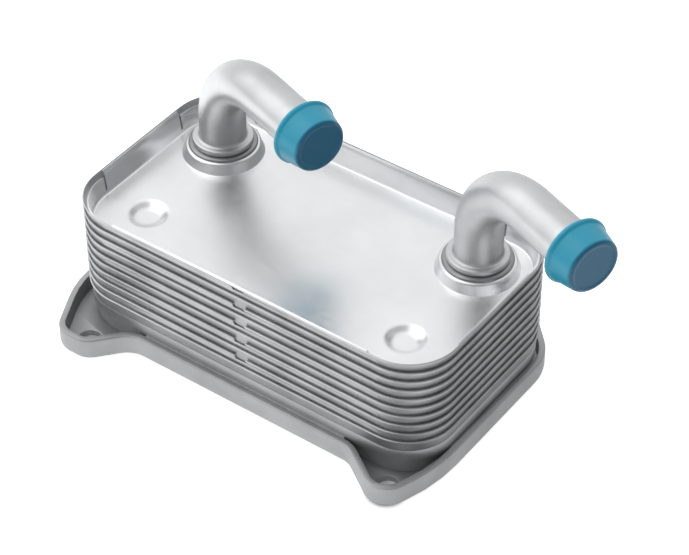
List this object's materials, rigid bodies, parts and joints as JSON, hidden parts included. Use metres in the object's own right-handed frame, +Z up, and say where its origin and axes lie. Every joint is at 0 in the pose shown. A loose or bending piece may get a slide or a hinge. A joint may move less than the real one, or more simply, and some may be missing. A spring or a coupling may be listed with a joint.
{
  "type": "engine oil cooler",
  "caption": "Stacked-plate oil-to-coolant heat exchanger on a flanged tray, with elbow hose stubs on top and oil ports underneath.",
  "frame": {"origin": "centre of the mounting face, which is the flat underside of the base tray", "axes": "+Z up out of the engine through the plate stack, +X along the core's long side, +Y towards the side where the pipes stand; the level pipe legs point towards +X and -Y"},
  "size_m": [0.2071, 0.1199, 0.1084],
  "materials": {
    "tray_aluminium": "satin, drawn sheet",
    "base_aluminium": "satin, machined",
    "core_aluminium": "satin, brazed sheet with bright lip edges",
    "cover_aluminium": "satin, smooth pressed sheet",
    "fin_aluminium": "bare rolled sheet",
    "ring_aluminium": "brazed, slightly dull",
    "pipe_aluminium": "drawn tube, semi-bright",
    "cap_plastic": "soft moulded plastic, teal",
    "seal_rubber": "moulded rubber"
  },
  "bodies": {
    "root": {"base_tray": "tray_aluminium", "base_plate": "base_aluminium", "core_plate_01": "core_aluminium", "core_plate_02": "core_aluminium", "core_plate_03": "core_aluminium", "core_plate_04": "core_aluminium", "core_plate_05": "core_aluminium", "core_plate_06": "core_aluminium", "core_plate_07": "core_aluminium", "core_plate_08": "core_aluminium", "core_plate_09": "core_aluminium", "core_plate_10": "core_aluminium", "turbulator_01": "fin_aluminium", "turbulator_02": "fin_aluminium", "turbulator_03": "fin_aluminium", "turbulator_04": "fin_aluminium", "turbulator_05": "fin_aluminium", "turbulator_06": "fin_aluminium", "turbulator_07": "fin_aluminium", "turbulator_08": "fin_aluminium", "turbulator_09": "fin_aluminium", "cover_plate": "cover_aluminium", "braze_ring_left": "ring_aluminium", "coolant_pipe_left": "pipe_aluminium", "transport_cap_left": "cap_plastic", "port_seal_left": "seal_rubber", "braze_ring_right": "ring_aluminium", "coolant_pipe_right": "pipe_aluminium", "transport_cap_right": "cap_plastic", "port_seal_right": "seal_rubber"}
  },
  "joints": []
}
